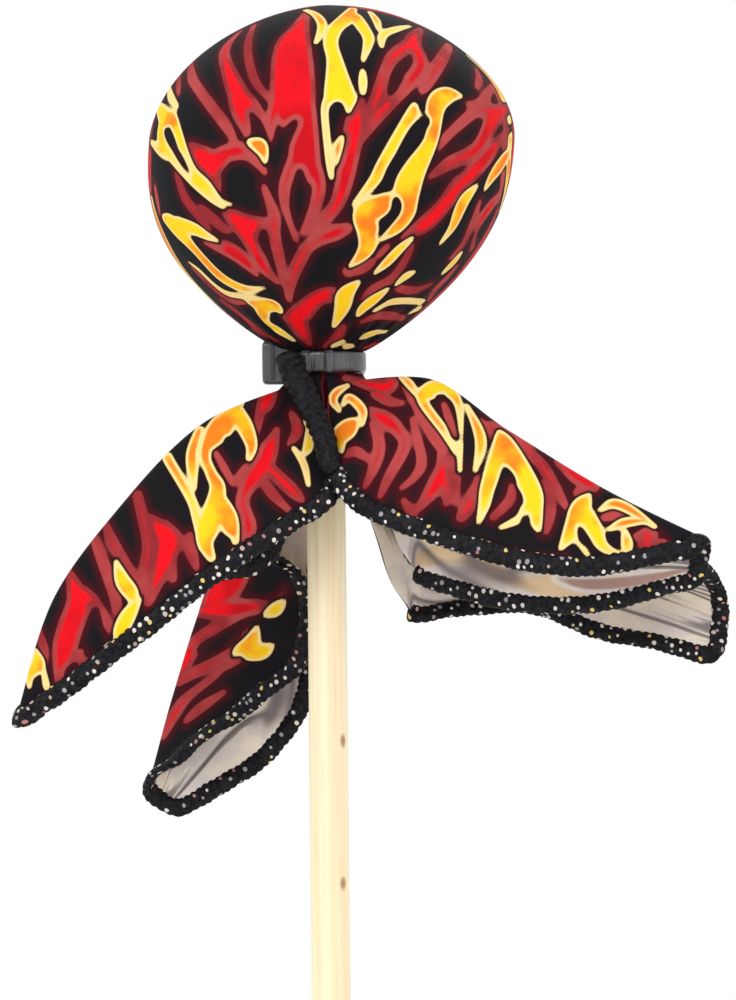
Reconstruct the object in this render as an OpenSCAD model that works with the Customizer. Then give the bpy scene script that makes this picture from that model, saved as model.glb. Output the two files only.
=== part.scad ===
/* [Dowel] */
// Diameter of the round wooden dowel
dowel_d = 9.5; // [8:0.5:11]
// Length of the dowel, end to end
dowel_len = 610; // [560:5:680]
// How far the dowel reaches into each head, above the cable tie
dowel_reach = 72; // [66:1:76]

/* [Stuffed head] */
// Largest radius of a head
head_r = 44.5; // [42:0.5:46]
// Height of the crown above the middle of the cable tie
head_top = 88; // [84:1:92]
// Height of the widest place above the middle of the cable tie
head_widest = 54; // [50:1:58]
// Radius of the foam ball inside a head
core_r = 30; // [26:1:32]
// Thickness of the cloth over a head
cloth_t = 0.8; // [0.6:0.1:1.2]

/* [Cable tie] */
// Width of the strap
strap_w = 4.8; // [3.6:0.1:5.2]
// Thickness of the strap
strap_t = 1.3; // [1:0.1:1.4]
// Outer radius of the strap when it is pulled tight
strap_r = 10; // [9.6:0.1:10.2]

/* [Hanging corners of the cloth] */
// Thickness of a corner, with the air in its creases
flap_t = 1.2; // [0.8:0.1:1.4]
// Width of the overlocked thread edge
edge_w = 2.7; // [2:0.1:3]
// Thickness of the overlocked thread edge
edge_t = 2; // [1.6:0.1:2.2]

/* [Hidden] */

$fn = 96;
dowel_r = dowel_d / 2;
tie_z = dowel_len / 2 - dowel_reach;
core_z = 50;
neck_z = strap_w / 2 + 0.2;
neck_r = strap_r - 0.5;
// Exponents of the crown's rounded curve and of the underside's taper
crown_power = 1.83;
taper_power = 2.5;
profile_steps = 14;

// Rings along a hanging corner, points across it, and the ring where its thread edge starts
corner_rings = 16;
corner_across = 8;
edge_start = 4;
// Thread edges stand this far off the cloth they bind
edge_gap = 0.05;

// A hanging corner is three curves from the neck to its tip: one edge, the ridge, the other
// edge. Each curve passes through five points, in millimetres from the middle of the tie.
TOP_CORNERS = [
    [   // front left
        [[-5.5, -8.4, -6], [-6.5, -18, -31], [-25, -27, -49], [-50, -30, -66], [-72, -27, -84]],
        [[-8.8, -4.7, -6], [-29, -15, -15], [-48, -24, -33], [-65, -28, -59], [-73, -23, -81]],
        [[-9.9, 0.9, -6], [-13, -3, -46], [-32, -8, -52], [-54, -13, -65], [-70, -19, -82]]
    ],
    [   // back left
        [[-9.3, 3.6, -6], [-8, 10, -48], [-10, 13, -72], [-24, 19, -84], [-40, 24, -98]],
        [[-7.0, 7.1, -6], [-22, 22, -34], [-32, 29, -62], [-39, 32, -84], [-41, 30, -103]],
        [[-1.7, 9.8, -6], [-3, 17, -44], [-5, 24, -78], [-15, 29, -93], [-34, 30, -106]]
    ],
    [   // back right
        [[2.6, 9.6, -6], [14, 18, -52], [38, 22, -60], [66, 25, -65], [91, 22, -70]],
        [[7.1, 7.1, -6], [28, 22, -36], [50, 30, -47], [73, 31, -53], [94, 24, -62]],
        [[9.3, 3.6, -6], [20, 6, -47], [42, 8, -57], [66, 10, -59], [88, 14, -56]]
    ],
    [   // front right
        [[9.9, 0.9, -6], [17, -4, -42], [34, -12, -52], [62, -26, -56], [86, -38, -51]],
        [[8.8, -4.7, -6], [27, -15, -6], [46, -27, -18], [68, -37, -33], [88, -43, -46]],
        [[4.2, -9.0, -6], [7, -19, -30], [26, -32, -41], [56, -42, -46], [86, -46, -48]]
    ]
];
// On the lower head the corners fall back over the ball. All four have this shape: distance
// from the dowel's axis, offset to the side, and height above the middle of the tie.
BOTTOM_SHAPE = [
    [[9.2, 4.2, -6], [21, 12, -14], [39, 22, -14], [55, 20, 3], [66, 5, 24]],
    [[10, 0, -6], [26, 0, -24], [49, 0, -28], [66, 0, -8], [69, 0, 26]],
    [[9.2, -4.2, -6], [21, -12, -14], [39, -22, -14], [55, -20, 3], [66, -5, 24]]
];
BOTTOM_ANGLES = [225, 135, 45, 315];
// Route of the rolled edge that is drawn up over the strap at the front
LOOP_ROUTE = [[-8.4, -11.6, 2], [-7.2, -12.6, -3], [-3.4, -14, -9], [0, -14.6, -15], [1.2, -14.8, -20]];
loop_r = 2.5;
loop_rings = 12;
loop_sides = 8;

black = [0.09, 0.08, 0.1];
flame = [0.72, 0.08, 0.1];
wood = [0.95, 0.87, 0.66];
nylon = [0.45, 0.47, 0.5];
fibre = [0.93, 0.92, 0.9];
foam = [0.85, 0.82, 0.72];

function unit(v) = v / norm(v);

// Smooth curve through the points of a list, with s running from 0 to 1
function curve(pts, s) =
    let (
        last = len(pts) - 1,
        k = min(floor(s * last), last - 1),
        t = s * last - k,
        a = pts[max(k - 1, 0)],
        b = pts[k],
        c = pts[k + 1],
        d = pts[min(k + 2, last)]
    )
    0.5 * (2 * b + (c - a) * t + (2 * a - 5 * b + 4 * c - d) * t * t + (3 * b - a - 3 * c + d) * t * t * t);

// Point of a hanging corner, s along it and v across it from one edge over the ridge to the other
function cloth(f, s, v) =
    let (
        a = curve(f[0], s),
        r = curve(f[1], s),
        b = curve(f[2], s),
        c = 2 * r - (a + b) / 2
    )
    (1 - v) * (1 - v) * a + 2 * v * (1 - v) * c + v * v * b;

function along(f, s, v) = let (e = 0.01) unit(cloth(f, min(s + e, 1), v) - cloth(f, max(s - e, 0), v));
function across(f, s, v) = let (e = 0.01) unit(cloth(f, s, min(v + e, 1)) - cloth(f, s, max(v - e, 0)));
function facing(f, s, v) = unit(cross(along(f, s, v), across(f, s, v)));

// Outline of a head's half section, inset by a thickness
function crown(inset) = [
    for (i = [0:profile_steps])
        let (a = 90 - 90 * i / profile_steps)
        [
            (head_r - inset) * pow(cos(a), 2 / crown_power),
            head_widest + (head_top - head_widest - inset) * pow(sin(a), 2 / crown_power)
        ]
];
function underside(inset) = [
    for (i = [1:profile_steps])
        let (t = i / profile_steps)
        [
            neck_r - inset + (head_r - neck_r) * (1 - pow(t, taper_power)),
            head_widest - (head_widest - neck_z - inset) * t
        ]
];
function head_outline(inset) = concat(crown(inset), underside(inset));
function reversed(list) = [for (i = [len(list) - 1:-1:0]) list[i]];

// Faces that join two rings of n points into a closed wall
function wall(rings, n) = [
    for (i = [0:rings - 1], j = [0:n - 1])
        let (a = i * n + j, b = i * n + (j + 1) % n)
        for (tri = [[a, b, b + n], [a, b + n, a + n]]) tri
];
function caps(rings, n) = [
    [for (j = [n - 1:-1:0]) j],
    [for (j = [0:n - 1]) rings * n + j]
];

// Thin closed sheet between both edges of a hanging corner
module corner_cloth(f) {
    n = 2 * (corner_across + 1);
    points = [
        for (i = [0:corner_rings], side = [1, -1], j = [0:corner_across])
            let (s = i / corner_rings, v = (side > 0 ? j : corner_across - j) / corner_across)
            cloth(f, s, v) + side * flap_t / 2 * facing(f, s, v)
    ];
    across_caps = [
        for (i = [0, corner_rings], j = [0:corner_across - 1])
            let (a = i * n + j, b = i * n + n - 1 - j)
            for (tri = [[a, a + 1, b], [a + 1, b - 1, b]])
                i == 0 ? [tri[0], tri[2], tri[1]] : tri
    ];
    polyhedron(points, concat(wall(corner_rings, n), across_caps));
}

// Places along the bound edge of a corner: down one side, round the tip and back up the other
function edge_places() = concat(
    [for (i = [edge_start:corner_rings - 1]) [i / corner_rings, 0, -1, 0]],
    [[1, 0, -1, 1]],
    [for (j = [1:corner_across - 1]) [1, j / corner_across, 0, 1]],
    [[1, 1, 1, 1]],
    [for (i = [corner_rings - 1:-1:edge_start]) [i / corner_rings, 1, 1, 0]]
);

// Overlocked thread edge with a flat six-sided section
module corner_edge(f) {
    section = [
        [edge_gap, edge_t / 4], [edge_w / 2, edge_t / 2], [edge_w, edge_t / 4],
        [edge_w, -edge_t / 4], [edge_w / 2, -edge_t / 2], [edge_gap, -edge_t / 4]
    ];
    places = edge_places();
    n = len(section);
    points = [
        for (p = places)
            let (
                out = unit(p[2] * across(f, p[0], p[1]) + p[3] * along(f, p[0], p[1])),
                up = facing(f, p[0], p[1]),
                at = cloth(f, p[0], p[1])
            )
            for (q = section) at + q[0] * out + q[1] * up
    ];
    polyhedron(points, concat(wall(len(places) - 1, n), caps(len(places) - 1, n)));
}

function bottom_corner(k) =
    let (a = BOTTOM_ANGLES[k])
    [
        for (line = BOTTOM_SHAPE)
            [for (p = line) [p[0] * cos(a) - p[1] * sin(a), p[0] * sin(a) + p[1] * cos(a), p[2]]]
    ];

module at_top() {
    translate([0, 0, tie_z]) children();
}

module at_bottom() {
    mirror([0, 0, 1]) translate([0, 0, tie_z]) children();
}

// Foam ball, bored for the dowel up to the dowel's end
module core() {
    color(foam) difference() {
        translate([0, 0, core_z]) sphere(r = core_r);
        cylinder(r = dowel_r, h = dowel_reach);
    }
}

// Polyester fibre packed between the ball and the cloth
module stuffing() {
    color(fibre) difference() {
        rotate_extrude() polygon(concat([[0, neck_z + cloth_t]], head_outline(cloth_t)));
        translate([0, 0, core_z]) sphere(r = core_r);
        cylinder(r = dowel_r, h = dowel_reach);
    }
}

// Printed cloth pulled down over the stuffing
module cover() {
    color(flame) rotate_extrude()
        polygon(concat(head_outline(0), reversed(head_outline(cloth_t))));
}

// Pleats of the same cloth, gathered round the dowel inside the tie
module collar() {
    collar_r = strap_r - strap_t;
    lower_r = dowel_r + 2.6;
    color(black) rotate_extrude() polygon([
        [dowel_r, neck_z], [collar_r, neck_z], [collar_r, -neck_z], [lower_r, -neck_z - 1.5],
        [lower_r, -9], [dowel_r + 1, -12], [dowel_r, -12]
    ]);
}

// Strap ring with two raised cross ribs
module tie_strap() {
    rib = [1.8, 1.1, strap_w + 0.8];
    color(nylon) {
        difference() {
            union() {
                translate([0, 0, -strap_w / 2]) cylinder(r = strap_r, h = strap_w);
                for (a = [243, 277]) {
                    rotate([0, 0, a]) translate([strap_r - 0.5, -rib[0] / 2, -rib[2] / 2]) cube(rib);
                }
            }
            translate([0, 0, -strap_w]) cylinder(r = strap_r - strap_t, h = 2 * strap_w);
        }
    }
}

// Square locking head of the tie, with the strap running through it
module tie_head() {
    size = [8, 8.4, 10.6];
    color(nylon) difference() {
        translate([-15.2, -size[1] / 2, -size[2] / 2]) cube(size);
        translate([0, 0, -strap_w / 2]) cylinder(r = strap_r, h = strap_w);
        translate([0, 0, -size[2]]) cylinder(r = strap_r - 0.6, h = size[2] * 2);
        rotate_extrude() polygon(concat([[0, neck_z]], reversed(underside(0))));
    }
}

// Rolled middle of the cloth's front edge, drawn up over the strap
module front_loop() {
    points = [
        for (i = [0:loop_rings])
            let (
                s = i / loop_rings,
                at = curve(LOOP_ROUTE, s),
                way = unit(curve(LOOP_ROUTE, min(s + 0.02, 1)) - curve(LOOP_ROUTE, max(s - 0.02, 0))),
                side = unit(cross(way, [0, 1, 0])),
                up = cross(side, way)
            )
            for (j = [0:loop_sides - 1])
                let (a = 360 * j / loop_sides)
                at + loop_r * (cos(a) * side + sin(a) * up)
    ];
    color(black) polyhedron(points, concat(wall(loop_rings, loop_sides), caps(loop_rings, loop_sides)));
}

module dowel() {
    chamfer = 0.6;
    color(wood) rotate_extrude() polygon([
        [0, -dowel_len / 2], [dowel_r - chamfer, -dowel_len / 2], [dowel_r, -dowel_len / 2 + chamfer],
        [dowel_r, dowel_len / 2 - chamfer], [dowel_r - chamfer, dowel_len / 2], [0, dowel_len / 2]
    ]);
}

dowel();

at_top() core();  // top_core
at_top() stuffing();  // top_stuffing
at_top() cover();  // top_cover
at_top() collar();  // top_collar
at_top() tie_strap();  // top_tie_strap
at_top() tie_head();  // top_tie_head
at_top() front_loop();  // top_front_loop
at_top() color(flame) corner_cloth(TOP_CORNERS[0]);  // top_corner_front_left
at_top() color(flame) corner_cloth(TOP_CORNERS[1]);  // top_corner_back_left
at_top() color(flame) corner_cloth(TOP_CORNERS[2]);  // top_corner_back_right
at_top() color(flame) corner_cloth(TOP_CORNERS[3]);  // top_corner_front_right
at_top() color(black) corner_edge(TOP_CORNERS[0]);  // top_edge_front_left
at_top() color(black) corner_edge(TOP_CORNERS[1]);  // top_edge_back_left
at_top() color(black) corner_edge(TOP_CORNERS[2]);  // top_edge_back_right
at_top() color(black) corner_edge(TOP_CORNERS[3]);  // top_edge_front_right

at_bottom() core();  // bottom_core
at_bottom() stuffing();  // bottom_stuffing
at_bottom() cover();  // bottom_cover
at_bottom() collar();  // bottom_collar
at_bottom() tie_strap();  // bottom_tie_strap
at_bottom() tie_head();  // bottom_tie_head
at_bottom() color(flame) corner_cloth(bottom_corner(0));  // bottom_corner_front_left
at_bottom() color(flame) corner_cloth(bottom_corner(1));  // bottom_corner_back_left
at_bottom() color(flame) corner_cloth(bottom_corner(2));  // bottom_corner_back_right
at_bottom() color(flame) corner_cloth(bottom_corner(3));  // bottom_corner_front_right
at_bottom() color(black) corner_edge(bottom_corner(0));  // bottom_edge_front_left
at_bottom() color(black) corner_edge(bottom_corner(1));  // bottom_edge_back_left
at_bottom() color(black) corner_edge(bottom_corner(2));  // bottom_edge_back_right
at_bottom() color(black) corner_edge(bottom_corner(3));  // bottom_edge_front_right
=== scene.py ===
import math

import bpy
import numpy as np
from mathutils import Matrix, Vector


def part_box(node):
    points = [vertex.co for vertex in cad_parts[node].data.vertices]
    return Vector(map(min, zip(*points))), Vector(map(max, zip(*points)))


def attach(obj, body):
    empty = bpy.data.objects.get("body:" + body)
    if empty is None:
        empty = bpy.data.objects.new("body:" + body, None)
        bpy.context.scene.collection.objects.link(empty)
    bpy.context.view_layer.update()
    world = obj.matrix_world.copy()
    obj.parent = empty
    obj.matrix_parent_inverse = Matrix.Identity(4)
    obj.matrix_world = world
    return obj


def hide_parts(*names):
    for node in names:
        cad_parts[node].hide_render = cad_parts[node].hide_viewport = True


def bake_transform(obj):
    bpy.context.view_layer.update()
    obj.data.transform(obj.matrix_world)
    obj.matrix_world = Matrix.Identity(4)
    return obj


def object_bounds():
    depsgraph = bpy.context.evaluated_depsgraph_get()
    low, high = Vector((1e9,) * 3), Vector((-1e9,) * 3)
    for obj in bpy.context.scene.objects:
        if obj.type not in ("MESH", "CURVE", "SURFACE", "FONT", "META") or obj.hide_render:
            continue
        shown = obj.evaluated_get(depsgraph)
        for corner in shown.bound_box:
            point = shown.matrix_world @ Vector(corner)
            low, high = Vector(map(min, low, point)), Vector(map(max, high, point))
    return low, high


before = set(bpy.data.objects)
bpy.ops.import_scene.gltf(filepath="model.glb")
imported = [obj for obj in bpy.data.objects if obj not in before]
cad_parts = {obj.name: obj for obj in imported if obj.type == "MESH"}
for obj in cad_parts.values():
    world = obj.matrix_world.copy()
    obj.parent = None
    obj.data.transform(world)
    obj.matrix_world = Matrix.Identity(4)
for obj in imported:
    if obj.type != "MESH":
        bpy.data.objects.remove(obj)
cad_box = [list(map(float, corner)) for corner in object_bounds()]

# ---------------------------------------------------------------- studio and camera
# The stick stands upright on its lower head. A long lens looks level at the upper head, from the
# side where the cloth's front edge is drawn up over the tie. Floor and lights are plain and soft.
MM = 0.001
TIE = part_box("top_tie_strap")
TIE_Z = float(TIE[0][2] + TIE[1][2]) / 2 / MM
scene = bpy.context.scene
scene.view_settings.view_transform = "Standard"

view_height = 243.6 * MM
view_centre = (10.2 * MM, (TIE_Z - 33.6) * MM)
camera_distance = 1.0
sensor_size = 36
lean_of_stick = math.radians(0.58)
camera = bpy.data.objects.new("camera", bpy.data.cameras.new("camera"))
camera.data.sensor_width = sensor_size
camera.data.lens = sensor_size * camera_distance / view_height
camera.data.clip_start = 0.05
camera.location = (view_centre[0], -camera_distance, view_centre[1])
camera.rotation_euler = (math.pi / 2, lean_of_stick, 0)
scene.collection.objects.link(camera)
scene.camera = camera

world = bpy.data.worlds.new("pale room")
world.use_nodes = True
sky = world.node_tree.nodes["Background"]
sky.inputs["Color"].default_value = (1.0, 1.0, 1.0, 1)
sky.inputs["Strength"].default_value = 1.0
scene.world = world

for name, place_at, size, power in (
    ("key light", (-0.7, -1.5, 1.3), 0.9, 12),
    ("fill light", (1.3, -1.1, 0.5), 1.2, 3),
    ("rim light", (0.3, 1.4, 1.2), 0.8, 3),
):
    lamp = bpy.data.objects.new(name, bpy.data.lights.new(name, "AREA"))
    lamp.data.size = size
    lamp.data.energy = power
    lamp.location = place_at
    aim = np.array((0, 0, 0.2)) - np.array(place_at)
    lamp.rotation_euler = (
        math.atan2(math.hypot(aim[0], aim[1]), -aim[2]), 0, math.atan2(aim[1], aim[0]) - math.pi / 2
    )
    scene.collection.objects.link(lamp)

floor_paint = bpy.data.materials.new("pale floor")
floor_paint.use_nodes = True
floor_shader = floor_paint.node_tree.nodes["Principled BSDF"]
floor_shader.inputs["Base Color"].default_value = (0.88, 0.88, 0.87, 1)
floor_shader.inputs["Roughness"].default_value = 0.9
floor_mesh = bpy.data.meshes.new("floor")
ground = float(cad_box[0][2]) - 0.0005
floor_corners = [(x, y, ground) for x, y in ((-2, -2), (2, -2), (2, 2), (-2, 2))]
floor_mesh.from_pydata(floor_corners, [], [(0, 1, 2, 3)])
floor_mesh.materials.append(floor_paint)
floor = bpy.data.objects.new("floor", floor_mesh)
scene.collection.objects.link(floor)


# ---------------------------------------------------------------- dowel
# A bare birch dowel, lightly sanded, with a slightly wavy grain along it and a few pin knots.
# Both its ends are pushed into the foam balls.
def ease(x, low, high):
    """0 below low, 1 above high, and 3t^2 - 2t^3 between them."""
    t = np.clip((x - low) / (high - low), 0, 1)
    return t * t * (3 - 2 * t)


def skin(
    name, p, looks, around=False, poles=(False, False), ring=False, flip=False, uv=None, marks=None
):
    """Mesh on a grid of points p[i, j], one face between four neighbours. around joins the last
    column to the first, ring the last row to the first, a pole closes an end row to one point.
    marks are numbers kept at each point for the material, each averaged with its neighbours."""
    n, m = p.shape[:2]
    index = np.arange(n * m).reshape(n, m)
    for row, shut in zip((0, n - 1), poles):
        if shut:
            index[row] = index[row, 0]
    if ring:
        index = np.vstack([index, index[:1]])
    right = np.roll(index, -1, axis=1) if around else index[:, 1:]
    left = index if around else index[:, :-1]
    quads = np.stack([left[:-1], left[1:], right[1:], right[:-1]], -1).reshape(-1, 4)
    if uv is None:
        i, j = np.meshgrid(np.arange(n + ring), np.arange(m + around), indexing="ij")
        uv = np.stack([j, i], -1).astype(float)
    corner = np.stack([uv[:-1, :-1], uv[1:, :-1], uv[1:, 1:], uv[:-1, 1:]], 2).reshape(-1, 4, 2)
    if flip:
        quads, corner = quads[:, ::-1], corner[:, ::-1]
    repeated = quads == np.roll(quads, 1, axis=1)
    faces = [q[~r].tolist() for q, r in zip(quads, repeated)] if any(poles) else quads.tolist()
    used = np.zeros(n * m, bool)
    used[quads.ravel()] = True
    new_index = np.cumsum(used) - 1
    if any(poles):
        faces = [new_index[f].tolist() for f in faces]
    mesh = bpy.data.meshes.new(name)
    mesh.from_pydata((p.reshape(-1, 3)[used] * MM).tolist(), [], faces)
    layer = mesh.uv_layers.new(name="cloth")
    layer.data.foreach_set("uv", corner[~repeated].astype(np.float32).ravel())
    for mark, values in (marks or {}).items():
        soft = np.pad(values.reshape(n, m), ((1, 1), (1, 1)), mode="wrap" if around else "edge")
        soft[[0, -1]] = soft[[1, -2]]
        soft = (soft[:-2] + 2 * soft[1:-1] + soft[2:]) / 4
        soft = (soft[:, :-2] + 2 * soft[:, 1:-1] + soft[:, 2:]) / 4
        column = mesh.attributes.new(mark, "FLOAT", "POINT")
        column.data.foreach_set("value", soft.ravel()[used].astype(np.float32))
    mesh.polygons.foreach_set("use_smooth", np.ones(len(mesh.polygons), bool))
    for look in looks:
        mesh.materials.append(look)
    mesh.update()
    piece = bpy.data.objects.new(name, mesh)
    scene.collection.objects.link(piece)
    return piece


class Wire:
    """A value or colour on its way through a material. Arithmetic on it adds Math nodes."""

    def __init__(self, look, socket):
        self.look, self.socket = look, socket

    def math(self, operation, *others):
        inputs = dict(enumerate((self, *others)))
        return self.look.node("ShaderNodeMath", inputs, operation=operation)

    def __add__(self, other): return self.math("ADD", other)
    def __radd__(self, other): return self.math("ADD", other)
    def __sub__(self, other): return self.math("SUBTRACT", other)
    def __rsub__(self, other): return (self * -1).math("ADD", other)
    def __mul__(self, other): return self.math("MULTIPLY", other)
    def __rmul__(self, other): return self.math("MULTIPLY", other)
    def __truediv__(self, other): return self.math("DIVIDE", other)

    def beside(self, output):
        """Another output of the node that this one comes from."""
        return Wire(self.look, self.socket.node.outputs[output])

    def ramp(self, low, high, lowest=0.0, highest=1.0):
        """lowest below low, highest above high, with an eased step between."""
        sockets = {
            "Value": self, "From Min": low, "From Max": high, "To Min": lowest, "To Max": highest
        }
        return self.look.node("ShaderNodeMapRange", sockets, interpolation_type="SMOOTHSTEP")


class Look:
    """One material: a Principled shader, and the nodes that feed it."""

    def __init__(self, name, **constants):
        self.material = bpy.data.materials.new(name)
        self.material.use_nodes = True
        self.tree = self.material.node_tree
        self.shader = self.tree.nodes["Principled BSDF"]
        for socket, value in constants.items():
            self.shader.inputs[socket.replace("_", " ")].default_value = value

    def node(self, kind, sockets=None, out=0, **settings):
        made = self.tree.nodes.new(kind)
        for key, value in settings.items():
            setattr(made, key, value)
        for key, value in (sockets or {}).items():
            if isinstance(value, Wire):
                self.tree.links.new(value.socket, made.inputs[key])
            else:
                made.inputs[key].default_value = value
        return Wire(self, made.outputs[out])

    def mark(self, name):
        return self.node("ShaderNodeAttribute", out="Fac", attribute_name=name)

    def place(self, scale=(1, 1, 1), uv=False):
        where = self.node("ShaderNodeTexCoord", out="UV" if uv else "Object")
        return self.node("ShaderNodeMapping", {"Vector": where, "Scale": scale})

    def noise(self, where, scale, detail=2.0, rough=0.5):
        sockets = {"Vector": where, "Scale": scale, "Detail": detail, "Roughness": rough}
        return self.node("ShaderNodeTexNoise", sockets)

    def mix(self, share, first, second):
        return self.node("ShaderNodeMix", {0: share, 6: first, 7: second}, out=2, data_type="RGBA")

    def bump(self, height, strength, distance):
        sockets = {"Height": height, "Strength": strength, "Distance": distance}
        return self.node("ShaderNodeBump", sockets)

    def feed(self, **wires):
        for socket, wire in wires.items():
            self.tree.links.new(wire.socket, self.shader.inputs[socket.replace("_", " ")])
        return self.material


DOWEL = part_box("dowel")
dowel_r = float(DOWEL[1][0] - DOWEL[0][0]) / 2 / MM
half_dowel = float(DOWEL[1][2]) / MM

wood = Look("birch dowel", Roughness=0.55, Specular_IOR_Level=0.35)
fine = wood.noise(wood.place((1100, 1100, 22)), 1, 4, 0.6)
broad = wood.noise(wood.place((260, 260, 7)), 1, 3, 0.55)
colour = wood.mix(broad.ramp(0.3, 0.7), (0.97, 0.86, 0.60, 1), (0.87, 0.69, 0.44, 1))
colour = wood.mix(fine.ramp(0.52, 0.72, 0, 0.3), colour, (0.66, 0.44, 0.22, 1))
for across, below_tie in ((3.6, 92), (3.2, 126.6), (-3.9, 171), (1.5, 262)):
    spot = (-across * MM, dowel_r * MM * 0.7, (below_tie - TIE_Z) * MM)
    near = wood.node("ShaderNodeVectorMath", {0: wood.place(), 1: spot}, operation="ADD")
    near = wood.node("ShaderNodeVectorMath", {0: near, 1: (900, 500, 420)}, operation="MULTIPLY")
    away = wood.node("ShaderNodeVectorMath", {0: near}, out="Value", operation="LENGTH")
    colour = wood.mix(away.ramp(0.25, 1.0, 0.85, 0), colour, (0.33, 0.15, 0.06, 1))
birch = wood.feed(
    Base_Color=colour, Normal=wood.bump(fine, 0.25, 0.0002), Roughness=broad.ramp(0.2, 0.8, 0.48, 0.62)
)


def turned(profile, sides, wobble=None, crowd=0.0):
    """Points of a turned shape: each (radius, height) of the profile goes once round the axis.
    wobble is added to the radius. crowd packs the columns closer towards the front, -Y."""
    turn = np.arange(sides) * 2 * np.pi / sides
    turn = turn - crowd * np.cos(turn)
    radius, height = profile[:, :1], profile[:, 1:2]
    if wobble is not None:
        radius = radius + wobble(turn[None, :], height)
    return np.stack([radius * np.cos(turn), radius * np.sin(turn), height + 0 * turn], -1)


stations = np.linspace(-half_dowel, half_dowel, 121)
ends = dowel_r - 0.6 * ease(np.abs(stations), half_dowel - 6, half_dowel)
profile = np.stack([ends, stations], -1)
profile = np.vstack([[0, -half_dowel], profile, [0, half_dowel]])
dowel = skin(
    "dowel_rod",
    turned(profile, 64, lambda turn, z: 0.03 * np.cos(2 * turn + z / 60)),
    [birch], around=True, poles=(True, True), flip=True,
)
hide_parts("dowel")
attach(dowel, "root")


# ---------------------------------------------------------------- foam balls and stuffing
# Each end of the dowel carries a bored ball of open-cell foam, packed round with white polyester
# fibre. Both are hidden by the cloth; the fibre gives the head its soft, flat-topped outline.
foam = Look("open-cell foam", Roughness=0.95)
cells = foam.node("ShaderNodeTexVoronoi", {"Vector": foam.place(), "Scale": 900.0})
shade = foam.mix(cells.ramp(0.1, 0.6), (0.62, 0.57, 0.42, 1), (0.78, 0.74, 0.6, 1))
foam_look = foam.feed(Base_Color=shade, Normal=foam.bump(cells, 0.6, 0.0005))
for node in ("top_core", "bottom_core"):
    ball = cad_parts[node]
    ball.data.materials.clear()
    ball.data.materials.append(foam_look)

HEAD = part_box("top_cover")
head_r = float(HEAD[1][0] - HEAD[0][0]) / 2 / MM
head_top = float(HEAD[1][2]) / MM - TIE_Z
strap_w = float(TIE[1][2] - TIE[0][2]) / MM - 0.8
neck_z = strap_w / 2 + 0.2
neck_r = 9.5
head_widest = 54.0
lean_right = 2.6
crown_power, taper_power = 1.83, 2.5


def head_half_section(inset, rows):
    """Half section from the crown to the neck, evenly spaced: a superellipse above the widest
    place, and below it a radius that falls with the 2.5th power of the way down."""
    a = np.linspace(np.pi / 2, 0, 400)
    t = np.linspace(0, 1, 400)[1:]
    crown = np.stack([
        (head_r - inset) * np.cos(a).clip(0) ** (2 / crown_power),
        head_widest + (head_top - head_widest - inset) * np.sin(a) ** (2 / crown_power),
    ], -1)
    taper = np.stack([
        neck_r - inset + (head_r - neck_r) * (1 - t**taper_power),
        head_widest - (head_widest - neck_z) * t,
    ], -1)
    line = np.vstack([crown, taper])
    run = np.r_[0, np.cumsum(np.linalg.norm(np.diff(line, axis=0), axis=1))]
    even = np.linspace(0, run[-1], rows)
    return np.stack([np.interp(even, run, line[:, 0]), np.interp(even, run, line[:, 1])], -1)


def slump(p):
    """Hand-stuffed unevenness: the head leans a little to the right above its middle, swells and
    sinks by under a millimetre in slow waves, is gathered into pleats above the neck, and has one
    shallow crease down its front where the cloth is doubled."""
    x, y, z = p[..., 0], p[..., 1], p[..., 2]
    turn = np.arctan2(y, x)
    gather = ease(z, 24, neck_z + 1) ** 1.5 * ease(z, 1.0, 4.5)
    pleat = np.cos(23 * turn + 2.2 * np.sin(2 * turn)) + 0.5 * np.cos(41 * turn + 1.3)
    swell = np.sin(3 * turn + z / 17) * np.sin(z / 24 + 0.6) + 0.5 * np.sin(5 * turn - z / 11)
    out = 1 + (0.55 * gather * pleat + 0.35 * swell * ease(z, 4, 20)) / np.maximum(np.hypot(x, y), 6)
    lean = lean_right * ease(z, 22, 66)
    beside_crease = (x - 0.105 * z + 2) / 1.3
    fold = 0.7 * np.exp(-(beside_crease**2)) * (y < 0) * ease(z, 3, 20) * ease(z, 88, 78)
    return np.stack([x * out + lean, y * out + fold, z - 1.2 * ease(z, 50, 88)], -1)


def put(p, end):
    """Moves points from the tie's own frame to the upper end, or mirrored to the lower end."""
    return np.stack([p[..., 0], p[..., 1], end * (p[..., 2] + TIE_Z)], -1)


fibre = Look("polyester fibre", Roughness=1.0)
tufts = fibre.noise(fibre.place(), 260, 5, 0.7)
fibre_look = fibre.feed(
    Base_Color=fibre.mix(tufts, (0.72, 0.71, 0.68, 1), (0.93, 0.92, 0.9, 1)),
    Normal=fibre.bump(tufts, 0.8, 0.002),
)
for end, side in ((1, "top"), (-1, "bottom")):
    inner = head_half_section(1.3, 70)
    inner = np.vstack([inner, [0, neck_z]])
    packing = skin(
        side + "_fibre_filling", put(slump(turned(inner, 96)), end), [fibre_look],
        around=True, poles=(True, True), flip=end < 0,
    )
    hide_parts(side + "_stuffing")
    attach(packing, "root")


# ---------------------------------------------------------------- printed cloth over the heads
# Stretch knit printed with flames on black: red licks with a dull rose line round them, yellow
# ones with a cream line. The middle of the square is pulled down tight over the stuffing.
def red(*points):
    """A red lick: points along its middle, each (across, up, half width) in millimetres."""
    return "red", points


def yellow(*points):
    """A yellow lick, given as a red one is."""
    return "yellow", points


def hole(*points):
    """Black ground showing through the licks drawn before it."""
    return "hole", points


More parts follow.
